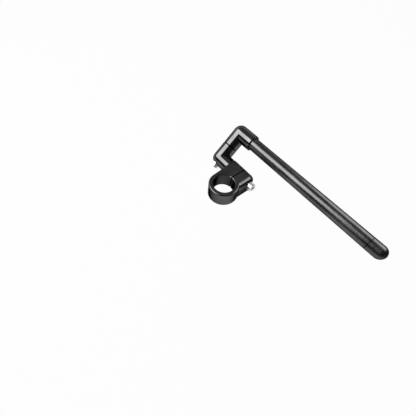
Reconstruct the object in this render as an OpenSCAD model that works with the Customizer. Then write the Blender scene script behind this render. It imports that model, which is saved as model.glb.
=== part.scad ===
// Raised clip-on handlebar for a motorcycle fork, right-hand one of a pair.
// A split clamp grips the fork tube. Its pinch bolt also draws a lower elbow against
// the clamp's rear ear. A second bolt draws an upper elbow against the lower one.
// The bar tube sits in the upper elbow and ends in a bullet cap.
//
// Millimetres. Origin: centre of the fork bore, at mid height. Z runs up the fork tube,
// X runs along the bar towards its tip, Y runs from the fork tube to the arm of the clamp.

/* [Fork clamp] */
// Diameter of the fork tube that the clamp grips
fork_d = 37; // [33:0.5:41]
// Wall of the clamp ring
clamp_wall = 7.5; // [6:0.5:10]
// Height of the clamp along the fork tube
clamp_h = 27; // [24:1:32]
// Distance from the fork axis to the axis of the pinch bolt
arm_y = 40.5; // [39:0.5:46]
// Distance from the pinch bolt axis to the outer side of the arm
arm_side = 13; // [11:0.5:15]
// Distance from the fork axis back to the face that the elbow seats on
arm_back = 28; // [27:0.5:34]
// Distance from the fork axis to the front face of the front ear
ear_front = 22.5; // [20:0.5:24]
// Width of the slit between the ears
slit_w = 2; // [1:0.5:3]
// Distance from the fork axis back to the middle of the slit
slit_back = 2; // [0:0.5:4]

/* [Clamp edges] */
// Radius of the rounded upper outer edges of the ears
ear_edge_r = 9.5; // [5:0.5:10]
// Radius of the front outer corner, seen from above
ear_corner_r = 10.5; // [10:0.5:12]
// Radius of the hollow that blends the ring into the front ear
web_r = 12; // [8:1:16]
// Radius along the upper outer edge of the ring
rim_r = 2.5; // [1:0.25:3]
// Radius along the lower outer edges of the ring and the ears
lower_r = 1.5; // [0.5:0.25:3]
// Chamfer at both mouths of the fork bore
bore_chamfer = 0.8; // [0.4:0.2:1.2]

/* [Elbows] */
// Diameter of both elbows
elbow_d = 28; // [27:0.5:32]
// Length of both legs of the lower elbow, from its corner
elbow_leg = 28; // [26:1:36]
// Distance between the two elbow corners along the riser
riser_len = 56.5; // [55:0.5:70]
// Rise of the riser above the clamp's level, in degrees
riser_tilt = 40.5; // [0:0.5:90]
// Length of the bar socket, from the upper corner
socket_leg = 32; // [30:1:40]
// Depth of the socket bore that holds the bar tube
socket_depth = 26; // [20:1:28]
// Chamfer at the ends of the elbow legs
leg_chamfer = 0.8; // [0.3:0.1:1]
// Diameter of the spigot that centres an elbow on its seat
spigot_d = 18; // [14:0.5:20]
// Height of the spigot
spigot_h = 3; // [2:0.5:4]

/* [Bar] */
// Diameter of the bar tube
bar_d = 22; // [21:0.5:22]
// Wall of the bar tube
bar_wall = 3; // [2:0.5:4]
// Distance from the upper corner to the seam of the end cap
bar_len = 268; // [200:1:300]
// How far the tube's radius is turned down where it sits in the socket
neck_cut = 0.5; // [0.4:0.1:0.8]
// How far the turned-down end shows outside the socket
neck_show = 0.7; // [0.6:0.1:1.5]
// Length of the end cap beyond the seam
cap_len = 28; // [24:1:34]
// Chamfer on both sides of the end cap's seam
seam_chamfer = 0.3; // [0.1:0.1:0.5]
// Length of the cap's stem inside the tube
cap_stem = 22; // [12:1:30]

/* [Bolts] */
// Thread diameter of both bolts
bolt_d = 10; // [8:1:10]
// Diameter of the bolt heads
head_d = 16; // [13:0.5:16]
// Height of the bolt heads
head_h = 10; // [8:0.5:10]
// Width across flats of the hex sockets
hex_af = 8; // [6:1:8]
// Depth of the hex sockets
hex_depth = 5; // [4:0.5:6]
// Length of the pinch bolt under its head
pinch_len = 65; // [60:5:70]
// Length of the elbow bolt under its head
riser_bolt_len = 50; // [45:5:55]
// Depth of the flat that the pinch bolt's head sits on, below the ear's front face
pinch_seat = 2.5; // [1:0.25:4]
// Distance from the lower corner down to the elbow bolt's seat
riser_seat = 9.5; // [8:0.5:12]

/* [Fits] */
// Radial clearance of spigots, tube and cap in their bores
fit_gap = 0.05; // [0.02:0.01:0.1]
// Radial clearance of a bolt in its clearance hole
hole_gap = 0.4; // [0.2:0.1:0.6]
// Radial clearance of a bolt in its tapped hole
thread_gap = 0.03; // [0.02:0.01:0.05]
// Radial clearance round a bolt head in its seat
head_gap = 1; // [0.5:0.25:1.5]
// Free depth beyond a spigot or the end of a bolt
end_gap = 0.3; // [0.2:0.1:1]

/* [Hidden] */
$fn = 96;
bore_r = fork_d / 2;
ring_r = bore_r + clamp_wall;
half_h = clamp_h / 2;
arm_out = arm_y + arm_side;
arm_in = arm_y - half_h;
edge_r = min(ear_edge_r, half_h - 1, ear_corner_r);
elbow_r = elbow_d / 2;
corner_back = arm_back + elbow_leg;
lower_corner = [-corner_back, arm_y, 0];
riser_leg = riser_len - elbow_leg;
bar_r = bar_d / 2;
neck_r = bar_r - neck_cut;
pinch_seat_x = ear_front - pinch_seat;
// The blend stops this far short of the clamp's top and bottom faces, and its edges lie this
// deep in their walls
web_drop = 0.12;
web_sink = 0.03;
// The straight side behind the ring starts this deep in the ring
side_sink = 0.12;

// Where the ring's blend into the front ear meets them, at one height of the clamp
function rounded(out, upper, z) = let (r = z > 0 ? upper : lower_r, over = max(0, abs(z) - (half_h - r)))
    out - r + sqrt(max(0, r * r - over * over)) - web_sink;
function ring_at(z) = rounded(ring_r, rim_r, z);
function nose_at(z) = rounded(ear_front, edge_r, z);
function web_y(z) = sqrt(pow(ring_at(z) + web_r, 2) - pow(nose_at(z) + web_r, 2));

// One level of the blend: an outline from the fork axis whose hollow side is an arc of web_r
function web_level(z, steps) =
    let (
        cx = nose_at(z) + web_r,
        cy = web_y(z),
        from = atan2(cy, cx) + 180
    )
    concat(
        [[0, 0, z]],
        [for (i = [0:steps]) let (a = from + (180 - from) * i / steps)
            [cx + web_r * cos(a), cy + web_r * sin(a), z]],
        [[nose_at(z) - clamp_wall / 2, cy + clamp_wall / 2, z]]
    );

// Heights of the levels, close together where the ears' edges round over
function web_rise(r, steps) = let (turn = asin(1 - web_drop / r))
    [for (i = [0:steps]) half_h - r + r * sin(turn * i / steps)];
function web_heights(steps) = let (down = web_rise(lower_r, steps))
    concat([for (i = [steps:-1:0]) -down[i]], web_rise(edge_r, steps));

// Solid through a stack of outlines that have the same number of points. Each outline can be
// seen whole from its first point, so both ends are fans from there.
module loft(levels) {
    n = len(levels[0]);
    m = len(levels);
    points = [for (level = levels) each level];
    sides = [for (j = [0:m - 2], i = [0:n - 1])
        let (k = (i + 1) % n) each [
            [j * n + i, (j + 1) * n + i, (j + 1) * n + k],
            [j * n + i, (j + 1) * n + k, j * n + k]
        ]];
    last = (m - 1) * n;
    ends = [for (i = [1:n - 2]) each [[0, i, i + 1], [last, last + i + 1, last + i]]];
    polyhedron(points, concat(sides, ends), convexity = 4);
}

// Puts a shape drawn along Z onto the pinch bolt's axis, pointing to +X
module on_arm_axis(x = 0) {
    translate([x, arm_y, 0]) rotate([0, 90, 0]) children();
}

// Puts a shape drawn along Z onto the riser's axis, with the lower corner at its origin
module on_riser(up = 0) {
    translate(lower_corner) rotate([riser_tilt - 90, 0, 0]) translate([0, 0, up]) children();
}

// Cylinder whose far end has a chamfer
module leg(r, h, chamfer) {
    rotate_extrude() polygon([[0, 0], [r, 0], [r, h - chamfer], [r - chamfer, h], [0, h]]);
}

// Section of the clamp: full height to the root, with rounded edges at the outer side
module rim_profile(root, out, upper) {
    translate([root, -half_h]) square([out - lower_r - root, half_h]);
    translate([root, 0]) square([out - upper - root, half_h]);
    translate([root, lower_r - half_h]) square([out - root, clamp_h - lower_r - upper]);
    translate([out - lower_r, lower_r - half_h]) circle(lower_r);
    translate([out - upper, half_h - upper]) circle(upper);
}

module clamp_ring() {
    rotate_extrude() rim_profile(bore_r / 2, ring_r, rim_r);
}

module clamp_arm() {
    straight = arm_back + ear_front - ear_corner_r;
    // outer side of both ears
    translate([-arm_back, 0, 0]) rotate([90, 0, 90])
        linear_extrude(straight) rim_profile(arm_in, arm_out, edge_r);
    // front of the front ear
    translate([0, arm_out - ear_corner_r, 0]) rotate([90, 0, 0])
        linear_extrude(arm_out - ear_corner_r - web_y(0)) rim_profile(0, ear_front, edge_r);
    // corner between them
    translate([ear_front - ear_corner_r, arm_out - ear_corner_r, 0]) rotate_extrude()
        intersection() {
            rim_profile(-edge_r, ear_corner_r, edge_r);
            translate([0, -half_h]) square([ear_corner_r, clamp_h]);
        }
}

// Web behind the ring: a straight side with a rounded edge that leaves the ring at a tangent
module rear_web() {
    reach = norm([arm_back, arm_in]);
    turn = atan2(arm_in, -arm_back) + acos((ring_r - side_sink) / reach);
    from = [(ring_r - side_sink) * cos(turn), (ring_r - side_sink) * sin(turn)];
    side = [-arm_back, arm_in] - from;
    inside = bore_r + 0.55 * clamp_wall;
    translate(from) rotate([90, 0, atan2(side[0], -side[1])])
        linear_extrude(norm(side)) rim_profile(min(inside - ring_r, -rim_r - 0.3), 0, rim_r);
    translate([0, 0, -half_h]) linear_extrude(clamp_h)
        polygon(concat(
            [for (i = [0:5]) let (a = 90 + (turn - 90) * i / 5) [inside * cos(a), inside * sin(a)]],
            [[rim_r - arm_back, arm_in], [rim_r - arm_back, arm_in + 1], [0, arm_in + 1]]
        ));
}

module fork_clamp() {
    color("#26272a") difference() {
        union() {
            clamp_ring();
            clamp_arm();
            rear_web();
            loft([for (z = web_heights(7)) web_level(z, 10)]);
        }
        // bore for the fork tube, with a chamfer at each mouth
        cylinder(r = bore_r, h = clamp_h + 2, center = true);
        for (side = [0, 1]) mirror([0, 0, side]) translate([0, 0, half_h - bore_chamfer])
            cylinder(r1 = bore_r, r2 = bore_r + bore_chamfer + 1, h = bore_chamfer + 1);
        // slit
        translate([-slit_back - slit_w / 2, 0, -half_h - 1]) cube([slit_w, arm_out + 1, clamp_h + 2]);
        // pinch bolt: hole, seat for its head and recess for the elbow's spigot
        on_arm_axis(-arm_back - 1)
            cylinder(r = bolt_d / 2 + hole_gap, h = arm_back + ear_front + 2);
        on_arm_axis(pinch_seat_x) cylinder(r = head_d / 2 + head_gap, h = head_h);
        on_arm_axis(-arm_back - 1) cylinder(r = spigot_d / 2 + fit_gap, h = spigot_h + end_gap + 1);
    }
}

module lower_elbow() {
    color("#17181a") difference() {
        union() {
            on_riser() sphere(elbow_r);
            on_arm_axis(-corner_back) leg(elbow_r, elbow_leg, leg_chamfer);
            on_arm_axis(-arm_back - 1) leg(spigot_d / 2, spigot_h + 1, leg_chamfer);
            on_riser() leg(elbow_r, elbow_leg, leg_chamfer);
            on_riser(elbow_leg - 1) leg(spigot_d / 2, spigot_h + 1, leg_chamfer);
        }
        // tapped hole for the pinch bolt
        on_arm_axis(pinch_seat_x - pinch_len - end_gap)
            cylinder(r = bolt_d / 2 + thread_gap, h = pinch_len);
        // through hole and counterbore for the elbow bolt
        on_riser(-riser_seat - 1) cylinder(r = bolt_d / 2 + hole_gap, h = riser_seat + riser_len);
        on_riser(-riser_seat - elbow_r) cylinder(r = head_d / 2 + head_gap, h = elbow_r);
    }
}

module upper_elbow() {
    color("#17181a") difference() {
        union() {
            on_riser(riser_len) sphere(elbow_r);
            on_riser(riser_len) rotate([0, 180, 0]) leg(elbow_r, riser_leg, leg_chamfer);
            on_riser(riser_len) rotate([0, 90, 0]) leg(elbow_r, socket_leg, leg_chamfer);
        }
        // socket for the bar tube
        on_riser(riser_len) rotate([0, 90, 0]) translate([0, 0, socket_leg - socket_depth])
            cylinder(r = neck_r + fit_gap, h = socket_depth + 1);
        // recess for the lower elbow's spigot
        on_riser(elbow_leg - 1) cylinder(r = spigot_d / 2 + fit_gap, h = spigot_h + end_gap + 1);
        // tapped hole for the elbow bolt
        on_riser(elbow_leg)
            cylinder(r = bolt_d / 2 + thread_gap, h = riser_bolt_len - riser_seat - elbow_leg + end_gap);
    }
}

// Tube with a turned-down end for the socket and a chamfer at the cap's seam
module handlebar_tube() {
    inner = bar_r - bar_wall;
    start = socket_leg - socket_depth;
    shoulder = socket_leg + neck_show;
    color("#141416") on_riser(riser_len) rotate([0, 90, 0]) rotate_extrude()
        polygon([[inner, start], [neck_r, start], [neck_r, shoulder], [bar_r, shoulder],
            [bar_r, bar_len - seam_chamfer], [bar_r - seam_chamfer, bar_len], [inner, bar_len]]);
}

// Cap with a stem inside the tube and a round nose
module end_cap() {
    stem_r = bar_r - bar_wall - fit_gap;
    skirt = cap_len - bar_r;
    color("#1b1b1d") on_riser(riser_len) rotate([0, 90, 0]) translate([0, 0, bar_len]) {
        rotate_extrude() polygon([[0, -cap_stem], [stem_r - 1, -cap_stem], [stem_r, 1 - cap_stem],
            [stem_r, 0], [bar_r - seam_chamfer, 0], [bar_r, seam_chamfer], [bar_r, skirt], [0, skirt]]);
        translate([0, 0, skirt]) sphere(bar_r);
    }
}

// Socket head cap screw: head up from z = 0, shank down
module cap_screw(length) {
    c = 0.8;
    difference() {
        rotate_extrude() polygon([[0, -length], [bolt_d / 2 - c, -length], [bolt_d / 2, c - length],
            [bolt_d / 2, 0], [head_d / 2, 0], [head_d / 2, head_h - c], [head_d / 2 - c, head_h],
            [0, head_h]]);
        translate([0, 0, head_h - hex_depth])
            cylinder(d = hex_af / cos(30), h = hex_depth + 1, $fn = 6);
    }
}

module pinch_bolt() {
    color("#c9cbcd") on_arm_axis(pinch_seat_x) cap_screw(pinch_len);
}

module elbow_bolt() {
    color("#c9cbcd") on_riser(-riser_seat) rotate([180, 0, 0]) cap_screw(riser_bolt_len);
}

fork_clamp();
lower_elbow();
upper_elbow();
handlebar_tube();
end_cap();
pinch_bolt();
elbow_bolt();
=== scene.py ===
import math

import bpy
from mathutils import Matrix, Vector

# Places on the part, in metres
FORK_R = 0.0185
SWIVEL = (-0.056, 0.061791, 0.018185)
RISER_AXIS = (0.0, 0.760406, 0.649448)
CAP_SEAM = (0.212, 0.083463, 0.036694)
BAR_AXIS = (1.0, 0.0, 0.0)
# Half widths of the bands of painted shade along the swivel seam and the end cap seam
SWIVEL_SEAM_SHADE_HALF = 0.0012
CAP_SEAM_SHADE_HALF = 0.0006

# Camera: angles in radians, place along its own axes in metres, lens in millimetres
CAMERA_LIFT = 0.99036773
CAMERA_TURN = 0.82093461
CAMERA_ROLL = 0.09916435
CAMERA_PLACE = (-0.02609873, -0.03368894, 0.46765590)
CAMERA_LENS = 23.766
SENSOR_WIDTH = 36.0

# White floor, and how it shows in reflections: start, end, value at start, value at end
WHITE = (1.0, 1.0, 1.0, 1.0)
FLOOR_CENTRE = (0.1, 0.05, -0.16)
FLOOR_R = 6.0
FLOOR_PAINT = (0.86, 0.86, 0.86, 1.0)
FLOOR_GLOW = 0.97
FLOOR_FADE = (0.05, 0.75, 1.0, 0.2)
NEAR_LEFT = (-0.85, -0.53, 0.0)
NEAR_LEFT_SHADE = (0.1, 0.36, 1.0, 0.15)
FAR_LEFT = (-0.87, 0.5, 0.0)
FAR_LEFT_SWEEP = (0.0, 0.3, 0.0, 1.0)

# White wall behind the part in reflections, in the same four values
WALL_SIDE = (-0.6, 0.5, 0.62)
WALL_EDGE = (0.25, 0.75, 0.0, 1.0)
WALL_FADE = (0.3, 0.7, 1.0, 0.2)
CEILING = 0.05

# Side softbox, placed from a point at the clamp's arm
ARM_POINT = (-0.05, 0.05, 0.015)
SIDE_WAY = (-0.158, -0.695, 0.701)
SIDE_LEVEL = (0.975, -0.222, 0.0)
SIDE_DISTANCE = 2.0
SIDE_SHIFT = 0.81
SIDE_RAISE = 0.05
SIDE_SIZE = (2.31, 1.52)
SIDE_LIGHT = 5.0

# Back softbox
BACK_CENTRE = (0.31, 0.82, 0.715)
BACK_FACING = (0.0, -0.68, -0.73)
BACK_SIZE = (0.87, 0.69)
BACK_LIGHT = 3.0

# Key panel, which doesn't show in reflections
KEY_POINT = (-0.03, 0.06, 0.02)
KEY_WAY = (-0.35, -0.45, 0.82)
KEY_DISTANCE = 1.5
KEY_SIZE = (1.6, 1.2)
KEY_WATTS = 20.0

# Finishes. A noise is given as scale and detail, then roughness where it isn't the usual one
CLAMP_BLACK = (0.108, 0.108, 0.112)
ELBOW_BLACK = (0.11, 0.11, 0.114)
BAR_BLACK = (0.1, 0.1, 0.103)
CAP_BLACK = (0.1, 0.1, 0.1)
BLAST_GRAIN = 2600.0
ELBOW_GRAIN = 2400.0
EDGE_TINT = 0.2
DYE_CLOUDS = (45.0, 4.0)
GRAIN_DETAIL = (5.0, 0.7)
TONE_ENDS = (0.3, 0.7)
DYE_THIN, DYE_THICK = 0.8, 1.25
ROUGH_LESS, ROUGH_MORE = 0.04, 0.05
# Painted shade: share of the colour kept on the fork bore's wall
BORE_SHADE_LEVEL = 0.4
# Painted shade: share of the colour kept at the middle of a seam
SEAM_SHADE_LEVEL = 0.05
STEEL_DARK = (0.88, 0.88, 0.87, 1.0)
STEEL_LIGHT = (0.96, 0.96, 0.95, 1.0)
STEEL_MARKS = (300.0, 3.0)

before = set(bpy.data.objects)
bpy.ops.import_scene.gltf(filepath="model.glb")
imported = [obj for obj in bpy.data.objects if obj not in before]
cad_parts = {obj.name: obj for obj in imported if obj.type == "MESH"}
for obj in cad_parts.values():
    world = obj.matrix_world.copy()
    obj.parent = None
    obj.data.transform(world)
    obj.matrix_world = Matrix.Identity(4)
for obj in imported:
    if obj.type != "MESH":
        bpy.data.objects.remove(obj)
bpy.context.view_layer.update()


def look_from_photo():
    """Camera fitted to the edges of the handlebar in the photograph."""
    level = math.cos(CAMERA_LIFT)
    back = Vector((math.sin(CAMERA_TURN) * level,
                   -math.cos(CAMERA_TURN) * level,
                   math.sin(CAMERA_LIFT)))
    right = Vector((math.cos(CAMERA_TURN), math.sin(CAMERA_TURN), 0.0))
    up = back.cross(right)
    right_rolled = math.cos(CAMERA_ROLL) * right + math.sin(CAMERA_ROLL) * up
    up_rolled = -math.sin(CAMERA_ROLL) * right + math.cos(CAMERA_ROLL) * up
    cam = bpy.data.cameras.new("photo_camera")
    cam.sensor_fit = "HORIZONTAL"
    cam.sensor_width = SENSOR_WIDTH
    cam.lens = CAMERA_LENS
    cam.clip_start = 0.01
    cam.clip_end = 50.0
    obj = bpy.data.objects.new("photo_camera", cam)
    bpy.context.collection.objects.link(obj)
    spin = Matrix((right_rolled, up_rolled, back)).transposed()
    place = spin @ Vector(CAMERA_PLACE)
    obj.matrix_world = Matrix.Translation(place) @ spin.to_4x4()
    bpy.context.scene.camera = obj


def empty_material(name):
    """New material without nodes, with its node tree's nodes and links."""
    mat = bpy.data.materials.new(name)
    mat.use_nodes = True
    nodes = mat.node_tree.nodes
    for node in list(nodes):
        nodes.remove(node)
    return mat, nodes, mat.node_tree.links


def math_node(nodes, links, operation, first, second=None):
    """Math node on one socket, and on a second socket or a plain number where one is given."""
    node = nodes.new("ShaderNodeMath")
    node.operation = operation
    links.new(first, node.inputs[0])
    if isinstance(second, float):
        node.inputs[1].default_value = second
    elif second is not None:
        links.new(second, node.inputs[1])
    return node.outputs[0]


def vector_node(nodes, links, operation, place, other=None):
    """Vector Math node on a place, with a fixed second vector where one is given."""
    node = nodes.new("ShaderNodeVectorMath")
    node.operation = operation
    links.new(place, node.inputs[0])
    if other is not None:
        node.inputs[1].default_value = other
    return node.outputs["Value" if operation in ("LENGTH", "DOT_PRODUCT") else "Vector"]


def range_node(nodes, links, value, start, end, low, high, smooth=True):
    """Change from low to high while the value goes from start to end."""
    node = nodes.new("ShaderNodeMapRange")
    if smooth:
        node.interpolation_type = "SMOOTHSTEP"
    node.inputs["From Min"].default_value = start
    node.inputs["From Max"].default_value = end
    node.inputs["To Min"].default_value = low
    node.inputs["To Max"].default_value = high
    links.new(value, node.inputs["Value"])
    return node.outputs["Result"]


def white_share(nodes, links, reflected):
    """Share of white: all of it for the camera, and a given share in reflections."""
    path = nodes.new("ShaderNodeLightPath")
    gloss = math_node(nodes, links, "MAXIMUM", path.outputs["Is Glossy Ray"],
                      path.outputs["Is Transmission Ray"])
    shown = math_node(nodes, links, "MULTIPLY", gloss, reflected)
    return math_node(nodes, links, "MAXIMUM", path.outputs["Is Camera Ray"], shown)


def pale_floor():
    """White floor well below the part, which is held by its fork clamp."""
    bpy.ops.object.select_all(action="DESELECT")
    bpy.ops.mesh.primitive_circle_add(vertices=96, radius=FLOOR_R, fill_type="NGON",
                                      location=FLOOR_CENTRE)
    floor = bpy.context.object
    floor.name = "studio_floor"
    mat, nodes, links = empty_material("floor_white")
    out = nodes.new("ShaderNodeOutputMaterial")
    paint = nodes.new("ShaderNodeBsdfDiffuse")
    paint.inputs["Color"].default_value = FLOOR_PAINT
    glow = nodes.new("ShaderNodeEmission")
    glow.inputs["Color"].default_value = WHITE
    glow.inputs["Strength"].default_value = 1.0
    # in reflections the floor fades with distance and to the near left, not to the far left
    place = nodes.new("ShaderNodeTexCoord").outputs["Object"]
    distance = vector_node(nodes, links, "LENGTH", place)
    fade = range_node(nodes, links, distance, *FLOOR_FADE)
    left = vector_node(nodes, links, "DOT_PRODUCT", place, NEAR_LEFT)
    shade = range_node(nodes, links, left, *NEAR_LEFT_SHADE)
    behind = vector_node(nodes, links, "DOT_PRODUCT", place, FAR_LEFT)
    sweep = range_node(nodes, links, behind, *FAR_LEFT_SWEEP)
    near = math_node(nodes, links, "MULTIPLY", fade, shade)
    reflected = math_node(nodes, links, "MAXIMUM", near, sweep)
    share = math_node(nodes, links, "MULTIPLY", white_share(nodes, links, reflected), FLOOR_GLOW)
    mix = nodes.new("ShaderNodeMixShader")
    links.new(share, mix.inputs["Fac"])
    links.new(paint.outputs[0], mix.inputs[1])
    links.new(glow.outputs[0], mix.inputs[2])
    links.new(mix.outputs[0], out.inputs["Surface"])
    floor.data.materials.append(mat)


def area_light(name, size, watts, place):
    """Rectangular area light at a place given as a matrix."""
    lamp = bpy.data.lights.new(name, "AREA")
    lamp.shape = "RECTANGLE"
    lamp.size, lamp.size_y = size
    lamp.energy = watts
    obj = bpy.data.objects.new(name, lamp)
    bpy.context.collection.objects.link(obj)
    obj.matrix_world = place
    return obj


def softbox(name, centre, facing, size, radiance):
    """Softbox with level upper and lower edges that shines in reflections only."""
    z = -Vector(facing).normalized()
    x = Vector((0.0, 0.0, 1.0)).cross(z).normalized()
    y = z.cross(x)
    turn = Matrix((x, y, z)).transposed().to_4x4()
    obj = area_light(name, size, radiance * math.pi * size[0] * size[1],
                     Matrix.Translation(centre) @ turn)
    obj.visible_diffuse = False


def white_wall():
    """Dim room that shows a white wall behind the part in reflections, and white to the camera."""
    world = bpy.data.worlds.new("studio")
    bpy.context.scene.world = world
    world.use_nodes = True
    nodes, links = world.node_tree.nodes, world.node_tree.links
    dim = nodes["Background"]
    dim.inputs["Color"].default_value = WHITE
    dim.inputs["Strength"].default_value = CEILING
    pale = nodes.new("ShaderNodeBackground")
    pale.inputs["Color"].default_value = WHITE
    way = nodes.new("ShaderNodeTexCoord").outputs["Generated"]
    height = nodes.new("ShaderNodeSeparateXYZ")
    links.new(way, height.inputs["Vector"])
    behind = vector_node(nodes, links, "DOT_PRODUCT", way, WALL_SIDE)
    edge = range_node(nodes, links, behind, *WALL_EDGE)
    fade = range_node(nodes, links, height.outputs["Z"], *WALL_FADE)
    wall = math_node(nodes, links, "MULTIPLY", edge, fade)
    mix = nodes.new("ShaderNodeMixShader")
    links.new(white_share(nodes, links, wall), mix.inputs["Fac"])
    links.new(dim.outputs[0], mix.inputs[1])
    links.new(pale.outputs[0], mix.inputs[2])
    links.new(mix.outputs[0], nodes["World Output"].inputs["Surface"])


def lamps():
    """Side and back softboxes for the reflections, and a key panel for the rest."""
    side = Vector(SIDE_WAY)
    along = Vector(SIDE_LEVEL)
    over = side.cross(along)
    centre = Vector(ARM_POINT) + SIDE_DISTANCE * side - SIDE_SHIFT * along + SIDE_RAISE * over
    softbox("side_softbox", centre, -side, SIDE_SIZE, SIDE_LIGHT)
    softbox("back_softbox", Vector(BACK_CENTRE), BACK_FACING, BACK_SIZE, BACK_LIGHT)
    way = Vector(KEY_WAY).normalized()
    turn = way.to_track_quat("Z", "Y").to_matrix().to_4x4()
    key = area_light("key_panel", KEY_SIZE, KEY_WATTS,
                     Matrix.Translation(Vector(KEY_POINT) + way * KEY_DISTANCE) @ turn)
    key.visible_glossy = False


def noise_node(nodes, links, place, scale, detail, roughness=0.5):
    """Value of a noise over the piece."""
    node = nodes.new("ShaderNodeTexNoise")
    node.inputs["Scale"].default_value = scale
    node.inputs["Detail"].default_value = detail
    node.inputs["Roughness"].default_value = roughness
    links.new(place, node.inputs["Vector"])
    return node.outputs["Fac"]


def tone_node(nodes, links, value, dark, light):
    """Colour that runs from a darker to a lighter tone with a noise value."""
    node = nodes.new("ShaderNodeValToRGB")
    ends = node.color_ramp.elements
    ends[0].position, ends[0].color = TONE_ENDS[0], dark
    ends[1].position, ends[1].color = TONE_ENDS[1], light
    links.new(value, node.inputs["Fac"])
    return node.outputs["Color"]


def bump_node(nodes, links, value, strength, depth):
    """Normals of a bump with the given depth in metres."""
    node = nodes.new("ShaderNodeBump")
    node.inputs["Strength"].default_value = strength
    node.inputs["Distance"].default_value = depth
    links.new(value, node.inputs["Height"])
    return node.outputs["Normal"]


def anodised(name, tint, rough, grain_size, grain_depth, shade_part):
    """Black anodised aluminium: fine blasted texture, cloudy dye and slight handling marks.

    The last argument gives, from nodes, links and place, a socket that is low where painted shade
    darkens the colour."""
    mat, nodes, links = empty_material(name)
    out = nodes.new("ShaderNodeOutputMaterial")
    shader = nodes.new("ShaderNodeBsdfPrincipled")
    shader.inputs["Metallic"].default_value = 1.0
    shader.inputs["Specular Tint"].default_value = (EDGE_TINT, EDGE_TINT, EDGE_TINT, 1.0)
    place = nodes.new("ShaderNodeTexCoord").outputs["Object"]
    cloud = noise_node(nodes, links, place, *DYE_CLOUDS)
    grain = noise_node(nodes, links, place, grain_size, *GRAIN_DETAIL)
    dye = tone_node(nodes, links, cloud,
                    tuple(part * DYE_THIN for part in tint) + (1.0,),
                    tuple(part * DYE_THICK for part in tint) + (1.0,))
    worn = range_node(nodes, links, cloud, *TONE_ENDS, rough - ROUGH_LESS, rough + ROUGH_MORE,
                      smooth=False)
    # painted shade: the dye colour is mixed towards black where painted shade falls
    shade_mix = nodes.new("ShaderNodeMix")
    shade_mix.data_type = "RGBA"
    shade_mix.inputs["A"].default_value = (0.0, 0.0, 0.0, 1.0)
    links.new(shade_part(nodes, links, place), shade_mix.inputs["Factor"])
    links.new(dye, shade_mix.inputs["B"])
    links.new(shade_mix.outputs["Result"], shader.inputs["Base Color"])
    links.new(worn, shader.inputs["Roughness"])
    links.new(bump_node(nodes, links, grain, 0.5, grain_depth), shader.inputs["Normal"])
    links.new(shader.outputs[0], out.inputs["Surface"])
    return mat


def painted_bore_shade(nodes, links, place):
    """Painted shade on the fork bore's wall: the colour is darker inside the bore."""
    across = vector_node(nodes, links, "MULTIPLY", place, (1.0, 1.0, 0.0))
    radius = vector_node(nodes, links, "LENGTH", across)
    return range_node(nodes, links, radius, FORK_R + 0.0001, FORK_R + 0.0003, BORE_SHADE_LEVEL, 1.0)


def painted_seam_shade(point, axis, half_width):
    """Painted shade along a seam that lies in a plane through the point, square to the axis."""
    def part(nodes, links, place):
        offset = vector_node(nodes, links, "SUBTRACT", place, point)
        height = vector_node(nodes, links, "DOT_PRODUCT", offset, axis)
        away = math_node(nodes, links, "ABSOLUTE", height)
        return range_node(nodes, links, away, half_width * 0.7, half_width, SEAM_SHADE_LEVEL, 1.0)
    return part


def bright_steel(name):
    """Bright plated screw steel with fine turning marks."""
    mat, nodes, links = empty_material(name)
    out = nodes.new("ShaderNodeOutputMaterial")
    shader = nodes.new("ShaderNodeBsdfPrincipled")
    shader.inputs["Metallic"].default_value = 0.8
    place = nodes.new("ShaderNodeTexCoord").outputs["Object"]
    cloud = noise_node(nodes, links, place, *STEEL_MARKS)
    tone = tone_node(nodes, links, cloud, STEEL_DARK, STEEL_LIGHT)
    worn = range_node(nodes, links, cloud, 0.0, 1.0, 0.25, 0.42, smooth=False)
    links.new(tone, shader.inputs["Base Color"])
    links.new(worn, shader.inputs["Roughness"])
    links.new(bump_node(nodes, links, cloud, 0.3, 0.00002), shader.inputs["Normal"])
    links.new(shader.outputs[0], out.inputs["Surface"])
    return mat


def finish_node(name, material):
    """Give a piece of the part its finish."""
    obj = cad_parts[name]
    if obj.material_slots:
        for s in obj.material_slots:
            s.material = material
    else:
        obj.data.materials.append(material)


look_from_photo()
pale_floor()
white_wall()
lamps()

# painted shade along the swivel seam between the elbows and along the end cap seam
swivel_seam_shade = painted_seam_shade(SWIVEL, RISER_AXIS, SWIVEL_SEAM_SHADE_HALF)
cap_seam_shade = painted_seam_shade(CAP_SEAM, BAR_AXIS, CAP_SEAM_SHADE_HALF)
# painted shade on the fork bore's wall
clamp_finish = anodised("satin_black_clamp", CLAMP_BLACK, 0.2, BLAST_GRAIN, 0.000004, painted_bore_shade)
elbow_finish = anodised("gloss_black_elbows", ELBOW_BLACK, 0.11, ELBOW_GRAIN, 0.000003, swivel_seam_shade)
bar_finish = anodised("satin_black_bar", BAR_BLACK, 0.26, BLAST_GRAIN, 0.0000006, cap_seam_shade)
cap_finish = anodised("satin_black_cap", CAP_BLACK, 0.28, BLAST_GRAIN, 0.0000008, cap_seam_shade)
screw_finish = bright_steel("bright_screw_steel")
for piece, finish in (("fork_clamp", clamp_finish),
                      ("lower_elbow", elbow_finish),
                      ("upper_elbow", elbow_finish),
                      ("handlebar_tube", bar_finish),
                      ("end_cap", cap_finish),
                      ("pinch_bolt", screw_finish),
                      ("elbow_bolt", screw_finish)):
    finish_node(piece, finish)

bpy.context.scene.view_settings.view_transform = "Standard"
